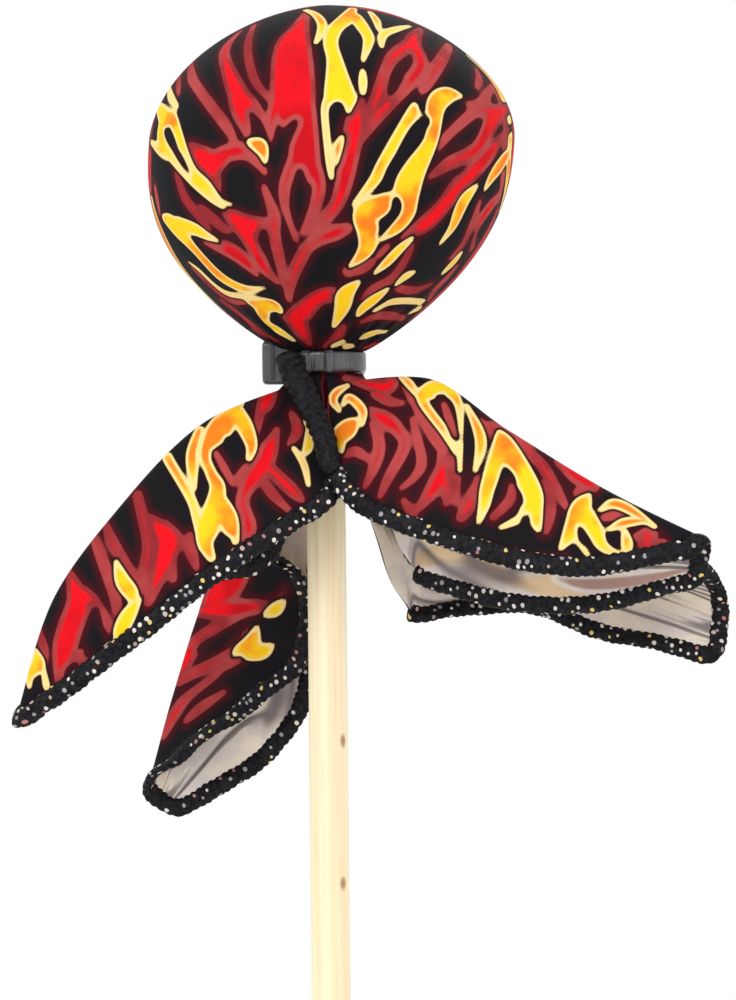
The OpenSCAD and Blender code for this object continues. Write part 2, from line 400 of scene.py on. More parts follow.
FRONT_PRINT = [
    red((-3, 85, .3), (-5, 79.5, 2), (-6.5, 74.5, 4), (-6.5, 64, 5), (-6, 58, 4.5), (-4, 53, 3),
        (-4, 44, 3.5)),
    red((-6, 44.5, 2), (-8.5, 40, 1), (-8, 35.5, 1), (-6, 27.5, .2)),
    red((-2.5, 44.5, 2), (-.5, 40, 1.2), (-1.5, 35, 1), (-4.5, 29, .2)),
    red((-10, 60, 1.5), (-11.5, 55, 1), (-12, 50.5, .2)),
    hole((-5, 43, 1.4), (-5, 37, 3), (-5.5, 33, 2), (-5.5, 29.5, .9)),
    hole((-6, 54.5, 1.4), (-9.5, 49.5, 2.6), (-11, 46, 2), (-11.5, 42, 2)),
    red((-16, 82, .3), (-17, 76, .6), (-16.5, 70, .6), (-15, 65, .6), (-12, 60.5, .2)),
    red((-19.5, 80.5, .3), (-22.5, 76, 1.2), (-22.5, 71.5, 1.2), (-19, 61.5, 2.2), (-16.5, 58.5, 2),
        (-12, 53, .2)),
    red((-19.5, 61, 2), (-18.5, 57, 1.7), (-17, 51.5, .3)),
    hole((-16.5, 57.5, .9), (-15, 54.5, 1.8), (-13.5, 50.5, 2)),
    red((-32, 74, .3), (-31, 68.5, .9), (-28.5, 64, .9), (-22.5, 55, .9), (-20, 50.5, .3)),
    red((-35, 71.5, .2), (-34.5, 67, .5), (-34, 64, .2)),
    red((-33.5, 51.5, .3), (-29.5, 48.5, 2), (-25.5, 46, 2.6), (-22, 48, 1.7), (-17, 48, 1.5),
        (-13, 43, .2)),
    red((-27.5, 47, 2.6), (-25.5, 42, 2), (-24.5, 38, .8)),
    hole((-20, 42, 3.3), (-19, 39.5, 4.2), (-16, 38, 3.5)),
    red((-23, 35, .8), (-18.5, 31.5, 2.4), (-15, 31, 2), (-10.5, 31.5, .5)),
    red((-19, 31, 2), (-16, 26.5, 1.7), (-14, 22, 1.5), (-10.5, 18, .2)),
    hole((-13.5, 29.5, 1.4), (-13.5, 27.5, 2), (-13, 24.5, .9)),
    red((-13.5, 40, .3), (-11, 33, 1), (-11, 29, 1), (-9.5, 21, .8), (-9, 17.5, .2)),
    red((-28, 28, .3), (-23.5, 26.5, 1.7), (-20.5, 25, 2), (-17.5, 22.5, 1.5), (-15.5, 20, .2)),
    red((-35, 48, .3), (-32.5, 39, 1), (-29, 34, 1), (-26.5, 30.5, .2)),
    red((-28.5, 36, .5), (-26, 33.5, 1), (-23.5, 31, .8), (-21.5, 30, .2)),
    red((-40, 42.5, .3), (-39.5, 39, .8), (-39, 35.5, .3)),
    red((-32, 23, .3), (-26, 17, 1), (-22, 14.5, .8), (-18, 14, .3)),
    red((-25, 15, .2), (-18, 9.5, .8), (-15, 7, .8), (-11, 5, .2)),
    red((-9, 10, .3), (-6, 10.5, 2.4), (-2.5, 13.5, 2), (.5, 15, 2.2), (3.5, 15, 2.2), (5.5, 16.5, .8)),
    red((-6.5, 9.5, 2.2), (-5, 6.5, 1.5), (-3.5, 4, .3)),
    hole((.5, 11, 1.4), (-1, 8, 2.3), (-1.5, 4, 2)),
    red((-8, 14, .2), (-7.5, 18, 1), (-4, 25, 1.2), (-.5, 27.5, 1.2), (3, 29, 1.7), (6, 30, 1)),
    red((9.5, 61.5, .3), (8.5, 56.5, 1.5), (7.5, 51.5, 2.2), (4.5, 37.5, 1.5), (0, 31.5, 1),
        (-3, 29, .2)),
    red((24, 80.5, .3), (22, 76, 1.7), (23.5, 71.5, 1.5), (22.5, 67, 1.5), (13, 55.5, 1.2),
        (9.5, 50, .2)),
    red((21.5, 75.5, 1.5), (17.5, 71.5, 1.5), (15.5, 66.5, 1.5), (12.5, 58.5, 1), (10.5, 54, .2)),
    hole((20, 71, 1), (18.5, 67.5, 2), (17, 63.5, 1.8), (16, 61, .9)),
    red((31, 76.5, .5), (29, 72, 1.2), (25, 64.5, 1), (23.5, 62, .2)),
    red((46, 62, .5), (41.5, 57.5, 2.2), (37, 49.5, 1.7), (33, 47, 1.5), (29.5, 45, 1.2), (25.5, 42, .3)),
    red((42.5, 59, 1.7), (37.5, 58.5, 1), (34.5, 56.5, 1), (29, 51, .8), (27.5, 48.5, .2)),
    hole((36, 54, 2), (34, 51.5, 2.6), (31, 49, 1.8), (29, 47, .9)),
    red((34.5, 60, .3), (37.5, 60.5, .8), (39.5, 62.5, 1), (41.5, 66.5, .3)),
    red((37.5, 70.5, .2), (38, 67.5, .8), (37, 64.5, .2)),
    red((46, 56.5, .3), (42.5, 52, 1), (39.5, 48, 2), (30, 37, 2), (27, 33.5, 2.2), (24, 31, 2),
        (19, 28, .2)),
    red((35, 43.5, .2), (32, 41.5, .8), (29.5, 39, .2)),
    red((42, 39, .8), (39.5, 36, 1.7), (37.5, 33, 1.5), (36.5, 30.5, .3)),
    red((37.5, 37.5, .3), (35.5, 32, .8), (33.5, 27.5, .8), (30.5, 24, .3)),
    red((36, 29, .5), (35.5, 26.5, .5)),
    red((32, 22.5, .3), (29.5, 19.5, 1), (27, 17, 1), (25.5, 14.5, .3)),
    red((15.5, 26, .5), (13.5, 24, .5)),
    red((21.5, 26.5, .3), (19.5, 22.5, .8), (16.5, 19, .8), (12, 16.5, .8), (9.5, 14, .2)),
    red((6.5, 20.5, 1.5), (9.5, 21.5, 1.7), (12, 22.5, .5)),
    red((16, 17.5, .3), (19.5, 16.5, .8), (22.5, 16.5, .8), (26, 18, .3)),
    red((9, 9, .3), (13, 10.5, 1), (16.5, 10.5, 1), (19.5, 10, .3)),
    red((13, 4.5, .3), (10, 3.5, .8)),
    red((.5, 3.5, .5), (3, 5.5, 1), (4.5, 8, .5)),
    yellow((-3.5, 85.5, .4), (-1, 83.5, .7), (.5, 80, .8), (-1, 75, .2)),
    yellow((8, 86, .7), (6, 82, 1.8), (3.5, 79, 1.6), (2.5, 75, 1.4), (3.5, 70, 1.6), (4.5, 61.5, 3.3)),
    yellow((8, 83.5, 1.6), (10, 80, 1.4), (11.5, 76, 1), (10, 70, .2)),
    hole((6.5, 76.5, 1.8), (7, 73.5, 2.6), (8.5, 66.5, 1.8), (9.5, 63, .9)),
    yellow((2, 60, .9), (1, 57, .5), (2, 45.5, .5), (2.5, 41.5, .2)),
    yellow((7, 60.5, 1.4), (6.5, 57, .2)),
    hole((4, 58, 2), (4, 55, 2.3), (3, 48, .9)),
    yellow((10, 67.5, .3), (10, 64.5, .7), (10, 61.5, .3)),
    yellow((5, 51, .3), (4, 48.5, .8), (3.5, 45, .2)),
    yellow((12, 85, .3), (13.5, 82, .7), (14, 79, .2)),
    yellow((21.5, 81, .3), (18, 79.5, .8), (15, 77.5, .8), (14.5, 74, .2)),
    yellow((33.5, 62, .2), (30, 62, 1.8), (27, 59, 2.3), (26, 51, 1.6), (22, 43.5, 2.8),
           (20.5, 40, 3.3), (20, 36, 2.8), (20.5, 33.5, 1.6), (18, 30.5, 1.4), (14, 27.5, .2)),
    yellow((22, 59, .4), (21, 56, 1.3), (14.5, 45, 1.1), (12.5, 41, 1.1), (7.5, 35.5, .2)),
    yellow((26, 56, .9), (21, 55.5, .9)),
    hole((24.5, 55, 1.8), (22, 52, 2.3), (17, 43.5, 1.8), (14.5, 39.5, 1)),
    yellow((17, 37.5, .9), (13.5, 35, 2.6), (10, 33.5, 2.3), (11, 29.5, 2.3), (11, 26.5, 2),
           (9.5, 24, 1.4), (6.5, 21.5, .2)),
    hole((17.5, 36.5, 1.4), (17.5, 34, 1.8), (13.5, 28.5, .9)),
    yellow((-40, 63, .7), (-37.5, 58.5, 2), (-35, 57, 1.4), (-32, 48.5, 1), (-30, 44, 1),
           (-27, 41, .9), (-24, 37.5, .2)),
    yellow((-38, 58, 1.8), (-38.5, 54.5, 1.6), (-36.5, 50, 1), (-31, 43, .9), (-26, 38, .7),
           (-23, 35.5, .2)),
    hole((-36, 54.5, .9), (-35, 51, 1.3), (-33, 47.5, 1.4), (-31, 44, .9)),
    yellow((-25, 37.5, .4), (-21, 36, .2)),
    yellow((-41.5, 53.5, .3), (-38.5, 50.5, .9), (-36.5, 48, .2)),
    yellow((-37.5, 68.5, .2), (-36.5, 64.5, .7), (-34, 60.5, .3)),
    yellow((-38, 34.5, .7), (-35, 32, 2.6), (-30.5, 26.5, 1.4), (-24.5, 20, 1.5), (-18.5, 17, 1),
           (-13.5, 17, .2)),
    yellow((-34, 32.5, 1.8), (-30, 31, 1.4), (-27.5, 29.5, .9), (-24.5, 28, .2)),
    yellow((-32.5, 24, .2), (-30, 22, .4), (-26.5, 18.5, .5), (-22.5, 16, .7), (-14, 14.5, .2)),
    yellow((-18, 14, .4), (-14.5, 13, 1.8), (-12, 13, 1.8), (-10, 11.5, .4)),
    yellow((-14.5, 12, 1.6), (-14, 9.5, 1), (-11, 7.5, 1), (-7.5, 5, .2)),
    yellow((-17, 50.5, .4), (-14.5, 49.5, 1.4), (-13.5, 48, 1), (-13, 45.5, .2)),
    yellow((37, 41, .3), (34, 37.5, 1.6), (32.5, 34.5, 1.6), (31, 31, 1), (28, 27, .2)),
    yellow((45.5, 51, .4), (43, 47, 1.6), (40.5, 43.5, 1.3), (38.5, 40, .3)),
    yellow((21.5, 28, .4), (18.5, 25.5, 1), (15.5, 22.5, 1), (12.5, 20, .2)),
    yellow((33, 25.5, .4), (31, 23, 1), (28.5, 20.5, .3)),
    yellow((22, 20.5, .3), (20, 19.5, .9), (17.5, 17.5, .2)),
    yellow((8.5, 18, .4), (5.5, 15.5, 1.8), (4.5, 12, 1.5), (2.5, 8, .2)),
    yellow((15.5, 16.5, .3), (12, 14, 1.3), (9.5, 12, 1), (8.5, 10.5, .2)),
    yellow((24, 14, .7), (19.5, 14, .8), (16, 13.5, .8), (12, 11.5, .2)),
    yellow((21, 11.5, .4), (23, 12.5, .8)),
    yellow((9.5, 5.5, .4), (11.5, 6.5, 1), (14.5, 7, .4)),
    yellow((2, 3.5, .4), (4.5, 4.5, .7)),
    yellow((5.5, 3.5, .8), (7, 3.5, .5)),
]
CROWN_PRINT = [
    red((-22, 2, .5), (-15, 4, 2.4), (-7, 3, 3.6), (2, 6, 3), (9, 4, .6)),
    hole((-12, 4, .8), (-6, 3.4, 1.7), (1, 5, .5)),
    yellow((20, -2, .5), (14, 0, 2), (7, -2, 2.8), (0, -3, 1.8), (-6, -5, .5)),
    yellow((-20, 14, .5), (-12, 13, 1.8), (-3, 14, 2.6), (5, 12, 1.4), (12, 14, .4)),
    red((24, 12, .5), (17, 11, 2.2), (9, 13, 1.5), (16, 20, .5)),
    red((-24, -8, .4), (-16, -6, 1.6), (-9, -7, 1.2), (-4, -9, .4)),
    red((24, -9, .4), (17, -8, 1.7), (9, -9, 1.3), (4, -8, .4)),
]
SIDE_PRINT = [
    red((2, 80, .6), (6, 70, 3), (3, 60, 4.2), (-2, 50, 3.4), (0, 38, 2), (3, 28, .6)),
    hole((4, 66, 1.4), (2, 59, 2.2), (-1, 51, .6)),
    yellow((-7, 74, .6), (-5, 66, 2.2), (-9, 56, 3), (-8, 46, 1.6), (-4, 36, .5)),
    red((9, 60, .7), (11, 50, 2.2), (8, 40, 2.6), (5, 30, 1.2), (4, 20, .5)),
    yellow((10, 40, .6), (8, 30, 1.8), (3, 20, 1.2), (1, 12, .4)),
    red((-8, 36, .6), (-6, 28, 2), (-3, 19, 1.6), (-2, 10, .5)),
    red((-10, 66, .6), (-12, 58, 1.2), (-13, 48, 1.3), (-10, 38, .5)),
]


def curve(points, s):
    """Smooth curve through a list of points: on each span, the cubic whose slope at a point is half
    the step between that point's neighbours. s runs from 0 to 1 and may be any array."""
    p = np.asarray(points, float)
    last = len(p) - 1
    k = np.minimum(np.floor(s * last).astype(int), last - 1)
    t = (s * last - k)[..., None]
    a, b, c, d = p[np.maximum(k - 1, 0)], p[k], p[k + 1], p[np.minimum(k + 2, last)]
    square, cube = 2 * a - 5 * b + 4 * c - d, 3 * b - a - 3 * c + d
    return 0.5 * (2 * b + (c - a) * t + square * t**2 + cube * t**3)


def paint(p, strokes):
    """How far each point is inside the red and inside the yellow print, in millimetres. A stroke
    is a chain of tapering segments; a hole or a stroke of the other colour cuts what it covers."""
    depth = {"red": np.full(len(p), -9.0), "yellow": np.full(len(p), -9.0)}
    reach, line_between = 3, 1.2
    for kind, centre, width in strokes:
        margin = width.max() + reach
        near = np.all((p > centre.min(0) - margin) & (p < centre.max(0) + margin), axis=1)
        q = p[near][:, None]
        a, step = centre[:-1], np.diff(centre, axis=0)
        share = ((q - a) * step).sum(-1) / np.maximum((step**2).sum(-1), 1e-9)
        share = share.clip(0, 1)
        gap = np.linalg.norm(q - a - share[..., None] * step, axis=-1)
        inside = (width[:-1] + share * np.diff(width) - gap).max(1)
        for colour_name in depth:
            had = depth[colour_name][near]
            if kind == colour_name:
                depth[colour_name][near] = np.maximum(had, inside)
            else:
                kept_clear = 0 if kind == "hole" else line_between
                depth[colour_name][near] = np.minimum(had, -inside - kept_clear)
    return depth["red"], depth["yellow"]


def drawn(strokes, lift, samples=7):
    """Turns each stroke's listed points (across, along, half width) into a smooth chain, lifted
    onto the cloth by the given function of its first two coordinates."""
    made = []
    for kind, points in strokes:
        s = np.linspace(0, 1, samples * (len(points) - 1) + 1)
        line = curve(points, s)
        made.append((kind, lift(line[:, 0], line[:, 1]), np.maximum(line[:, 2], 0.25)))
    return made


def on_head(turned_by=0.0, mirrored=False):
    """Lift for the heads: a point seen from the front at (x, z) lies on the round of the head."""
    section = head_half_section(0, 400)[::-1]

    def lift(x, z):
        x = (x - lean_right * ease(z, 22, 66)) * (-1 if mirrored else 1)
        r = np.interp(z, section[:, 1], section[:, 0])
        a = np.arcsin(np.clip(x / r, -1, 1)) - np.pi / 2 + turned_by
        return np.stack([r * np.cos(a), r * np.sin(a), z], -1)

    return lift


def on_crown(x, y):
    """Lift for the top of a head: a point seen from above at (x, y)."""
    section = head_half_section(0, 400)[:120]
    return np.stack([x, y, np.interp(np.hypot(x, y), section[:, 0], section[:, 1])], -1)


def over(under, top_layer):
    """Lays one painted layer on another: what is below is cut back a millimetre round it."""
    cover = np.maximum(*top_layer) + 1.0
    return [np.maximum(np.minimum(u, -cover), t) for u, t in zip(under, top_layer)]


def thicken(piece):
    """Gives a cloth its thickness, inwards, with the wrong side as its inner face."""
    wall = piece.modifiers.new("thickness", "SOLIDIFY")
    wall.thickness, wall.offset, wall.material_offset = 0.6 * MM, -1, 1


def knit(look):
    """Fine jersey: rows of small ribs along the cloth, about two to the millimetre."""
    across = look.node("ShaderNodeSeparateXYZ", {0: look.place(uv=True)}, out="X")
    along = across.beside("Y")
    rib = (across * 9.0).math("SINE") * 0.5
    loop = (along * 11.0 + (across * 9.0).math("COSINE")).math("SINE") * 0.5
    return rib + loop


def printed(name):
    """Outer face of the cloth."""
    look = Look(name, Roughness=0.75, Specular_IOR_Level=0.12)
    red, yellow = look.mark("red_print") + 0.5, look.mark("yellow_print") + 0.38
    cloud = look.noise(look.place(), 55, 3, 0.6)
    blot = look.noise(look.place(), 140, 2, 0.5)
    edge = red + (blot - 0.5) * 0.35
    c = look.mix(edge.ramp(-2.2, -0.1, 0, 0.9), (0.006, 0.005, 0.007, 1), (0.06, 0.002, 0.006, 1))
    rose = look.mix(cloud.ramp(0.35, 0.65), (0.27, 0.02, 0.025, 1), (0.44, 0.06, 0.06, 1))
    c = look.mix(edge.ramp(-0.15, 0.25), c, rose)
    blood = look.mix(cloud.ramp(0.4, 0.7, 0, 0.7), (0.80, 0.003, 0.010, 1), (0.40, 0.002, 0.009, 1))
    c = look.mix(edge.ramp(0.85, 1.5), c, blood)
    c = look.mix(yellow.ramp(-0.9, -0.15), c, (0.016, 0.003, 0.004, 1))
    c = look.mix(yellow.ramp(-0.15, 0.15), c, (0.9, 0.68, 0.27, 1))
    gold = look.mix(cloud.ramp(0.44, 0.62), (0.98, 0.62, 0.012, 1), (0.88, 0.22, 0.012, 1))
    c = look.mix(yellow.ramp(0.4, 0.85), c, gold)
    return look.feed(Base_Color=c, Normal=look.bump(knit(look), 0.35, 0.00012))


def wrong_side(name):
    """Inner face: undyed knit with a faint ghost of the print showing through. Its lilac-grey patches are
    partly that ghost and partly painted shade of the folds, and its dark crease lines are painted shade.
    """
    look = Look(name, Roughness=0.85, Specular_IOR_Level=0.2, Sheen_Weight=0.1)
    red, yellow = look.mark("red_print"), look.mark("yellow_print")
    cloud = look.noise(look.place(), 90, 4, 0.65)
    c = look.mix(cloud, (0.80, 0.68, 0.53, 1), (0.93, 0.86, 0.75, 1))
    # Lilac-grey patches in slow clouds: partly the ghost of the black ground, partly painted shade of the
    # lining's folds.
    c = look.mix(cloud.ramp(0.38, 0.62, 0.1, 0.6), c, (0.55, 0.49, 0.53, 1))
    c = look.mix(yellow.ramp(-0.6, 0.4) * 0.8, c, (0.72, 0.49, 0.26, 1))
    c = look.mix(red.ramp(-0.4, 0.4) * 0.8, c, (0.33, 0.15, 0.11, 1))
    # Painted shade: dark lines along the crumples, where the creases fall into shadow; the same lines
    # dent the bump.
    crumple = look.noise(look.place((0.14, 0.035, 1), uv=True), 1, 1, 0.5)
    ridge = (crumple - 0.5).math("ABSOLUTE")
    c = look.mix(ridge.ramp(0.0, 0.055, 0.85, 0), c, (0.15, 0.12, 0.14, 1))
    dents = look.bump(ridge.ramp(0.0, 0.12), 0.9, 0.0016)
    return look.feed(Base_Color=c, Normal=dents)


flame_cloth = printed("flame print knit")
cloth_back = wrong_side("knit wrong side")

around_head, down_head = ((330, 144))
line = head_half_section(0, down_head)
tucked_into_tie = [[8.75, 2.5], [8.6, 2.2], [8.55, 1.2], [8.5, 0.2]]
line = np.vstack([line, tucked_into_tie])
front_crowding = 0.4
smooth_head = turned(line, around_head, crowd=front_crowding)
flat = smooth_head.reshape(-1, 3)
sides = drawn(SIDE_PRINT, on_head(np.pi / 2)) + drawn(SIDE_PRINT, on_head(-np.pi / 2))
layers = paint(flat, sides)
for strokes, lift in (
    (CROWN_PRINT, on_crown), (FRONT_PRINT, on_head(np.pi, mirrored=True)), (FRONT_PRINT, on_head())
):
    layers = over(layers, paint(flat, drawn(strokes, lift)))
run = np.r_[0, np.cumsum(np.linalg.norm(np.diff(line, axis=0), axis=1))]
turn = np.linspace(0, 2 * np.pi, around_head + 1)
turn = turn - front_crowding * np.cos(turn)
head_uv = np.stack(np.broadcast_arrays(turn[None] * head_r, run[:, None]), -1)
for end, side in ((1, "top"), (-1, "bottom")):
    cover = skin(
        side + "_head_cloth", put(slump(smooth_head), end), [flame_cloth, cloth_back], around=True,
        poles=(True, False), flip=end < 0, uv=head_uv,
        marks={"red_print": layers[0], "yellow_print": layers[1]},
    )
    thicken(cover)
    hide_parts(side + "_cover")
    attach(cover, "root")

# ---------------------------------------------------------------- gathered collar
# The same cloth squeezed into deep pleats round the dowel. It runs through the tie, and the pleats
# open a little just below it.
collar_line = curve(
    [(7.5, 3), (7.5, -1), (7.4, -3.5), (7.5, -6.5), (8, -10), (7.5, -14)], np.linspace(0, 1, 40)
)


def pleats(turn, z):
    """Folds that open below the tie: waves of uneven width round the dowel."""
    depth = 0.12 + 0.6 * ease(z, -2.5, -8)
    return depth * (np.cos(15 * turn + 1.6 * np.sin(3 * turn)) + 0.3 * np.cos(31 * turn))


collar_points = turned(collar_line, 240, pleats)
collar_strokes = []
for k in range(14):
    a = np.linspace(k * 0.45, k * 0.45 + 0.3, 9)
    stroke = np.stack([neck_r * np.cos(a), neck_r * np.sin(a), np.linspace(-14, -1, 9)], -1)
    collar_strokes.append(("yellow" if k % 5 == 2 else "red", stroke, np.full(9, 1.3 + 0.5 * (k % 3))))
collar_red, collar_yellow = paint(collar_points.reshape(-1, 3), collar_strokes)
collar_cut = (0.060, 0.018)
collar_uv = np.stack(np.meshgrid(
    np.linspace(0, collar_cut[0] / MM, 241), np.linspace(0, collar_cut[1] / MM, 40)
), -1)
for end, side in ((1, "top"), (-1, "bottom")):
    collar = skin(
        side + "_pleated_collar", put(collar_points, end), [flame_cloth, cloth_back],
        around=True, flip=end < 0, uv=collar_uv,
        marks={"red_print": collar_red, "yellow_print": collar_yellow},
    )
    thicken(collar)
    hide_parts(side + "_collar")
    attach(collar, "root")

# ---------------------------------------------------------------- cable tie
# A smoky nylon tie pulled tight: a ring of strap with two raised cross ribs at the front, and a
# square locking head on the left with its pawl showing as a dark bar.
nylon = Look("smoky nylon", IOR=1.5, Specular_IOR_Level=0.6, Transmission_Weight=0.25)
haze = nylon.noise(nylon.place(), 320, 3, 0.6)
nylon_look = nylon.feed(
    Base_Color=nylon.mix(haze, (0.025, 0.027, 0.030, 1), (0.13, 0.14, 0.15, 1)),
    Roughness=haze.ramp(0.3, 0.7, 0.14, 0.3), Normal=nylon.bump(haze, 0.12, 0.0003),
)
pawl = Look("dark nylon", Specular_IOR_Level=0.5)
scuff = pawl.noise(pawl.place(), 700, 3, 0.6)
pawl_look = pawl.feed(
    Base_Color=pawl.mix(scuff, (0.012, 0.012, 0.014, 1), (0.05, 0.05, 0.055, 1)),
    Roughness=scuff.ramp(0.3, 0.7, 0.3, 0.5),
)
strap_mid, strap_half, rib_out = 9.45, 0.6, 1.1
rib_angles = np.radians([243.0, 277.0])
locking_head = dict(centre=(-11.3, 0, 0), half=(3.9, 4.1, 5.3))
pawl_bar = dict(centre=(-12.6, -4.05, 0), half=(0.55, 0.35, 4.2), rings=16, sides=24)


def strap_ring(sides, section):
    """Ring whose section is a rounded rectangle; near each rib it swells outwards and up."""
    turn = np.arange(sides)[:, None] * 2 * np.pi / sides
    c, s = np.cos(section), np.sin(section)
    square = (np.abs(c) ** 5 + np.abs(s) ** 5) ** (-1 / 5)
    away = np.abs((turn - rib_angles[None] + np.pi) % (2 * np.pi) - np.pi).min(1) * 10
    rib = np.exp(-(away / 1.05) ** 6)[:, None]
    radius = strap_mid + square * c * strap_half + rib * rib_out * (c > 0) * np.abs(square * c)
    height = square * s * (strap_w / 2 + 0.4 * rib * (c > -0.3))
    radius = radius + 0.03 * np.cos(turn * 60) * (c > 0.6) * (1 - rib)  # the fine teeth
    return np.stack([radius * np.cos(turn), radius * np.sin(turn), height], -1)


def block(centre, half, squareness=0.22, rings=30, sides=64):
    """Box with rounded edges: a sphere whose sines and cosines are raised to a small power."""
    def power(x):
        return np.sign(x) * np.abs(x) ** squareness

    tilt = np.linspace(np.pi / 2, -np.pi / 2, rings)[:, None]
    turn = np.arange(sides)[None] * 2 * np.pi / sides
    ball = [power(np.cos(tilt)) * power(np.cos(turn)), power(np.cos(tilt)) * power(np.sin(turn)),
            power(np.sin(tilt)) + 0 * turn]
    return np.stack(ball, -1) * half + centre


for end, side in ((1, "top"), (-1, "bottom")):
    strap = skin(
        side + "_strap_band", put(strap_ring(360, np.arange(24)[None] * 2 * np.pi / 24), end),
        [nylon_look], around=True, ring=True, flip=end < 0,
    )
    head = skin(
        side + "_locking_head", put(block(**locking_head), end), [nylon_look],
        around=True, poles=(True, True), flip=end < 0,
    )
    bar = skin(
        side + "_pawl_bar", put(block(**pawl_bar), end), [pawl_look],
        around=True, poles=(True, True), flip=end < 0,
    )
    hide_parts(side + "_tie_strap")
    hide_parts(side + "_tie_head")
    for piece in (strap, head, bar):
        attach(piece, "root")

# ---------------------------------------------------------------- upper corners
# The square's four corners come out below the tie and flare. Each is a cupped leaf of cloth: print
# on top, pale wrong side below. The two front ones close over the dowel; the back ones hang lower.
# Edge, ridge and edge are each given as points from the neck outwards, from the tie's centre.
LEFT_PRINT = [
    red((-61, -49.5, .3), (-58.5, -57, 2.4), (-60.5, -63, 2.6), (-62, -68.5, 2.4), (-63.5, -77, .2)),
    red((-57.5, -55, 1.5), (-54, -58, 1), (-50, -66.5, .5), (-52.5, -71, .2)),
    red((-58, -70, 1.5), (-55, -75.5, .2)),
    hole((-54.5, -59, 1.4), (-55, -64, 2.8), (-56, -69, 1.8)),
    hole((-59.5, -72, 1.4), (-60, -74.5, 2.6), (-58, -76.5, 1.6)),
    red((-54.5, -42.5, .8), (-50, -55, 1), (-49, -61.5, .2)),
    red((-52, -39, .5), (-49.5, -44.5, 1), (-44, -52.5, .2)),
    red((-44.5, -32, .8), (-42, -42.5, 1), (-42.5, -48.5, 1), (-44, -56.5, .2)),
    red((-41.5, -37, .2), (-39.5, -39.5, 1.5), (-37.5, -43, 2.4), (-38.5, -48, 2), (-42, -57.5, .5)),
    red((-38, -39.5, 1.2), (-35, -42.5, 1), (-36.5, -46.5, 1), (-36, -52, .5)),
    red((-32, -41.5, .5), (-32, -44.5, 1.2), (-30.5, -49.5, .3)),
    red((-11.5, -16.5, .3), (-14.5, -24, 2.2), (-19.5, -32.5, 1.2), (-18.5, -40, 1.7),
        (-20.5, -43.5, .8)),
    red((-14.5, -24.5, 1), (-8, -31, 1.2), (-5.5, -33.5, .2)),
    red((-15, -28.5, .5), (-12.5, -32, .8), (-8, -36.5, .2)),
    red((-13, -6.5, 1), (-14, -9.5, 1.7), (-15.5, -12.5, .8), (-16.5, -19, .2)),
    red((-68, -64, .2), (-67, -68, .8), (-66.5, -71.5, .2)),
    red((-8, -12.5, .3), (-6.5, -16.5, 1), (-8.5, -20, .3)),
    yellow((-20, -10, .2), (-24.5, -15.5, 2.6), (-27.5, -19.5, 1.6), (-28.5, -23, 1), (-27, -27, 1),
           (-25.5, -31, 1.6), (-27.5, -39, 2.3), (-28.5, -43, 1.6), (-27, -47, .7)),
    yellow((-21, -12.5, 1.6), (-19, -16, 1.6), (-17.5, -20.5, 1), (-18.5, -24.5, .2)),
    yellow((-24.5, -34, 1.4), (-23, -38, 2), (-21.5, -43, .7)),
    hole((-23, -19, 1.4), (-22, -22.5, 3), (-20.5, -27, .9)),
    hole((-23.5, -43, 1.6), (-23.5, -46.5, 1.8)),
    red((-26, -22, .2), (-24, -25.5, .5), (-22, -29.5, .2)),
    red((-18.5, -25, .2), (-20, -27, .5), (-21, -29, .2)),
    yellow((-37.5, -23, .9), (-32, -32.5, .8), (-30.5, -37.5, .7), (-29.5, -44.5, .2)),
    yellow((-30, -16.5, .7), (-31.5, -21.5, 1), (-31.5, -25.5, 1), (-31, -30.5, .2)),
    yellow((-5, -9.5, .4), (-4, -12.5, .9), (-4.5, -15, .2)),
    yellow((-4, -16.5, .2), (-4, -20.5, .9), (-5, -22.5, .2)),
    yellow((-7.5, -21, .2), (-5, -25, .5), (-4, -30, .2)),
    yellow((-49.5, -47.5, .2), (-48, -52, 1.4), (-46, -55, 1.4), (-45, -57.5, .2)),
    yellow((-44, -56.5, .2), (-46.5, -60, 1.4), (-48.5, -64, 1.4), (-49, -67, .2)),
    yellow((-51.5, -67, .2), (-53, -70, .7), (-55.5, -72.5, .2)),
    yellow((-69, -68.5, .2), (-68.5, -72, 1.6), (-70.5, -74, .9), (-70.5, -77, .2)),
    yellow((-68, -72.5, 1), (-67, -75, .7), (-65.5, -79, .2)),
    hole((-68, -74.5, .9), (-68.5, -77, 1.6), (-68, -79, .9)),
]
LOW_LEFT_PRINT = [
    red((-35, -59, .5), (-30.5, -57.5, 2.2), (-25, -55, 3), (-20.5, -51, 1.2)),
    red((-33.5, -61, 1.2), (-24.5, -60.5, 2), (-14, -59, 1), (-10.5, -55.5, .2)),
    hole((-16.5, -49.5, 2.6), (-16.5, -55.5, 3), (-12, -54.5, 2)),
    red((-37, -75, 1.5), (-33, -69, 1.5), (-28, -65, 1), (-21, -62, .2)),
    red((-38, -78.5, 1), (-25.5, -72, .8), (-20, -65.5, .2)),
    hole((-33, -71, .9), (-30, -69.5, 2), (-22.5, -65, .9)),
    yellow((-16, -62, .2), (-13, -60.5, 1.4), (-10.5, -58, .2)),
    yellow((-17.5, -64.5, .2), (-19, -68.5, 1.6), (-22, -71, 1.4), (-23.5, -72, .2)),
    yellow((-20.5, -71, 1.8), (-16.5, -71, 1.6), (-13.5, -69, .2)),
    red((-42, -92, .8), (-39, -87, 1), (-35.5, -82.5, .8), (-27.5, -76.5, .2)),
    red((-36, -88.5, .2), (-32, -85, .8), (-26, -81, .2)),
    red((-30.5, -76, .2), (-26.5, -75, .5), (-22, -73, .3)),
]
